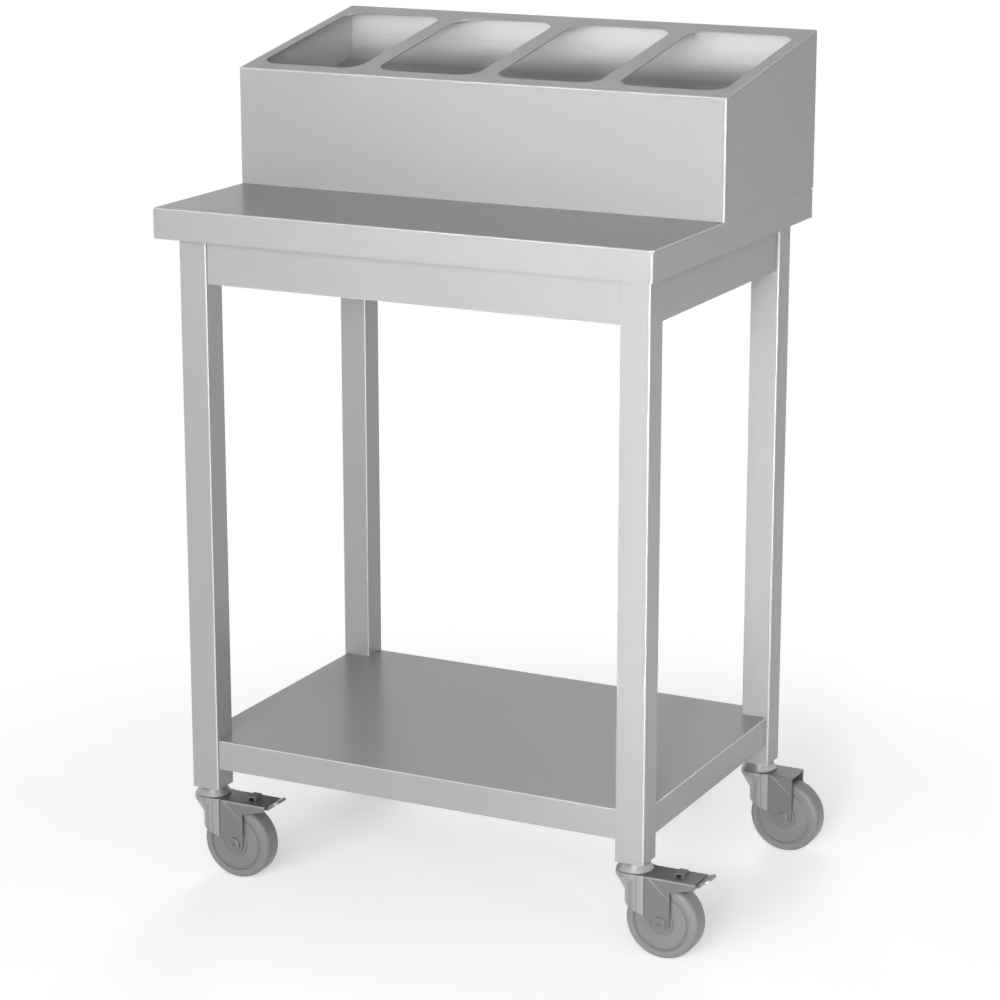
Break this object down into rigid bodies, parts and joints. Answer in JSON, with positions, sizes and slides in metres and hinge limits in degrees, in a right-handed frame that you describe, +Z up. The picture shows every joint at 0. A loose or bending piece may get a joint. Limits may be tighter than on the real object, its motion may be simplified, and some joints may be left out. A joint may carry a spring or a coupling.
{
  "type": "cutlery trolley",
  "caption": "Folded stainless sheet trolley with a worktop, a sloping cutlery housing with round-cornered cut-outs, a lower shelf and swivel casters, the front ones braked.",
  "frame": {"origin": "on the floor under the middle of the worktop", "axes": "+X to the right, +Y from the open front of the worktop to the housing's back, +Z up"},
  "size_m": [0.7712, 0.53, 1.1255],
  "materials": {
    "steel_worktop": "satin ground sheet",
    "steel_housing": "satin ground sheet",
    "steel_tube": "satin ground tube",
    "steel_sheet": "satin ground sheet",
    "steel_hidden": "mill finish",
    "zinc_sheet": "zinc plated pressing",
    "zinc_hardware": "zinc plated",
    "wheel_plastic": "matt",
    "tyre_rubber": "smooth grey rubber"
  },
  "bodies": {
    "frame": {"worktop": "steel_worktop", "worktop_stiffeners": "steel_hidden", "leg_front_left": "steel_tube", "leg_front_right": "steel_tube", "leg_rear_left": "steel_tube", "leg_rear_right": "steel_tube", "apron_front": "steel_sheet", "apron_rear": "steel_sheet", "apron_left": "steel_sheet", "apron_right": "steel_sheet", "shelf": "steel_sheet", "shelf_stiffeners": "steel_hidden", "housing_shell": "steel_housing", "housing_rear": "steel_housing", "housing_tray": "steel_housing", "housing_screws": "zinc_hardware", "housing_nuts": "zinc_hardware", "leg_plugs": "zinc_hardware", "kingpins": "zinc_hardware", "lower_races": "zinc_hardware", "head_cup_front_left": "zinc_sheet", "head_cup_front_right": "zinc_sheet", "head_cup_rear_left": "zinc_sheet", "head_cup_rear_right": "zinc_sheet"},
    "swivel_front_left": {"fork_front_left": "zinc_sheet", "balls_front_left": "zinc_hardware", "axle_bolt_front_left": "zinc_hardware", "axle_nut_front_left": "zinc_hardware", "axle_sleeve_front_left": "zinc_hardware", "brake_pin_front_left": "zinc_hardware"},
    "wheel_front_left": {"wheel_core_front_left": "wheel_plastic", "tyre_front_left": "tyre_rubber"},
    "brake_front_left": {"brake_pedal_front_left": "zinc_sheet"},
    "swivel_front_right": {"fork_front_right": "zinc_sheet", "balls_front_right": "zinc_hardware", "axle_bolt_front_right": "zinc_hardware", "axle_nut_front_right": "zinc_hardware", "axle_sleeve_front_right": "zinc_hardware", "brake_pin_front_right": "zinc_hardware"},
    "wheel_front_right": {"wheel_core_front_right": "wheel_plastic", "tyre_front_right": "tyre_rubber"},
    "brake_front_right": {"brake_pedal_front_right": "zinc_sheet"},
    "swivel_rear_left": {"fork_rear_left": "zinc_sheet", "balls_rear_left": "zinc_hardware", "axle_bolt_rear_left": "zinc_hardware", "axle_nut_rear_left": "zinc_hardware", "axle_sleeve_rear_left": "zinc_hardware"},
    "wheel_rear_left": {"wheel_core_rear_left": "wheel_plastic", "tyre_rear_left": "tyre_rubber"},
    "swivel_rear_right": {"fork_rear_right": "zinc_sheet", "balls_rear_right": "zinc_hardware", "axle_bolt_rear_right": "zinc_hardware", "axle_nut_rear_right": "zinc_hardware", "axle_sleeve_rear_right": "zinc_hardware"},
    "wheel_rear_right": {"wheel_core_rear_right": "wheel_plastic", "tyre_rear_right": "tyre_rubber"}
  },
  "joints": [
    {"name": "swivel_front_left_turn", "type": "hinge", "parent": "frame", "child": "swivel_front_left", "pos_m": [-0.313, -0.211, 0.111], "axis": [0, 0, 1], "continuous": true},
    {"name": "wheel_front_left_spin", "type": "hinge", "parent": "swivel_front_left", "child": "wheel_front_left", "pos_m": [-0.2695, -0.211, 0.05], "axis": [0, 1, 0], "continuous": true},
    {"name": "brake_front_left_press", "type": "hinge", "parent": "swivel_front_left", "child": "brake_front_left", "pos_m": [-0.251, -0.211, 0.1042], "axis": [0, 1, 0], "range_deg": [0, 14]},
    {"name": "swivel_front_right_turn", "type": "hinge", "parent": "frame", "child": "swivel_front_right", "pos_m": [0.313, -0.211, 0.111], "axis": [0, 0, 1], "continuous": true},
    {"name": "wheel_front_right_spin", "type": "hinge", "parent": "swivel_front_right", "child": "wheel_front_right", "pos_m": [0.3565, -0.211, 0.05], "axis": [0, 1, 0], "continuous": true},
    {"name": "brake_front_right_press", "type": "hinge", "parent": "swivel_front_right", "child": "brake_front_right", "pos_m": [0.375, -0.211, 0.1042], "axis": [0, 1, 0], "range_deg": [0, 14]},
    {"name": "swivel_rear_left_turn", "type": "hinge", "parent": "frame", "child": "swivel_rear_left", "pos_m": [-0.313, 0.211, 0.111], "axis": [0, 0, 1], "continuous": true},
    {"name": "wheel_rear_left_spin", "type": "hinge", "parent": "swivel_rear_left", "child": "wheel_rear_left", "pos_m": [-0.2695, 0.211, 0.05], "axis": [0, 1, 0], "continuous": true},
    {"name": "swivel_rear_right_turn", "type": "hinge", "parent": "frame", "child": "swivel_rear_right", "pos_m": [0.313, 0.211, 0.111], "axis": [0, 0, 1], "continuous": true},
    {"name": "wheel_rear_right_spin", "type": "hinge", "parent": "swivel_rear_right", "child": "wheel_rear_right", "pos_m": [0.3565, 0.211, 0.05], "axis": [0, 1, 0], "continuous": true}
  ]
}
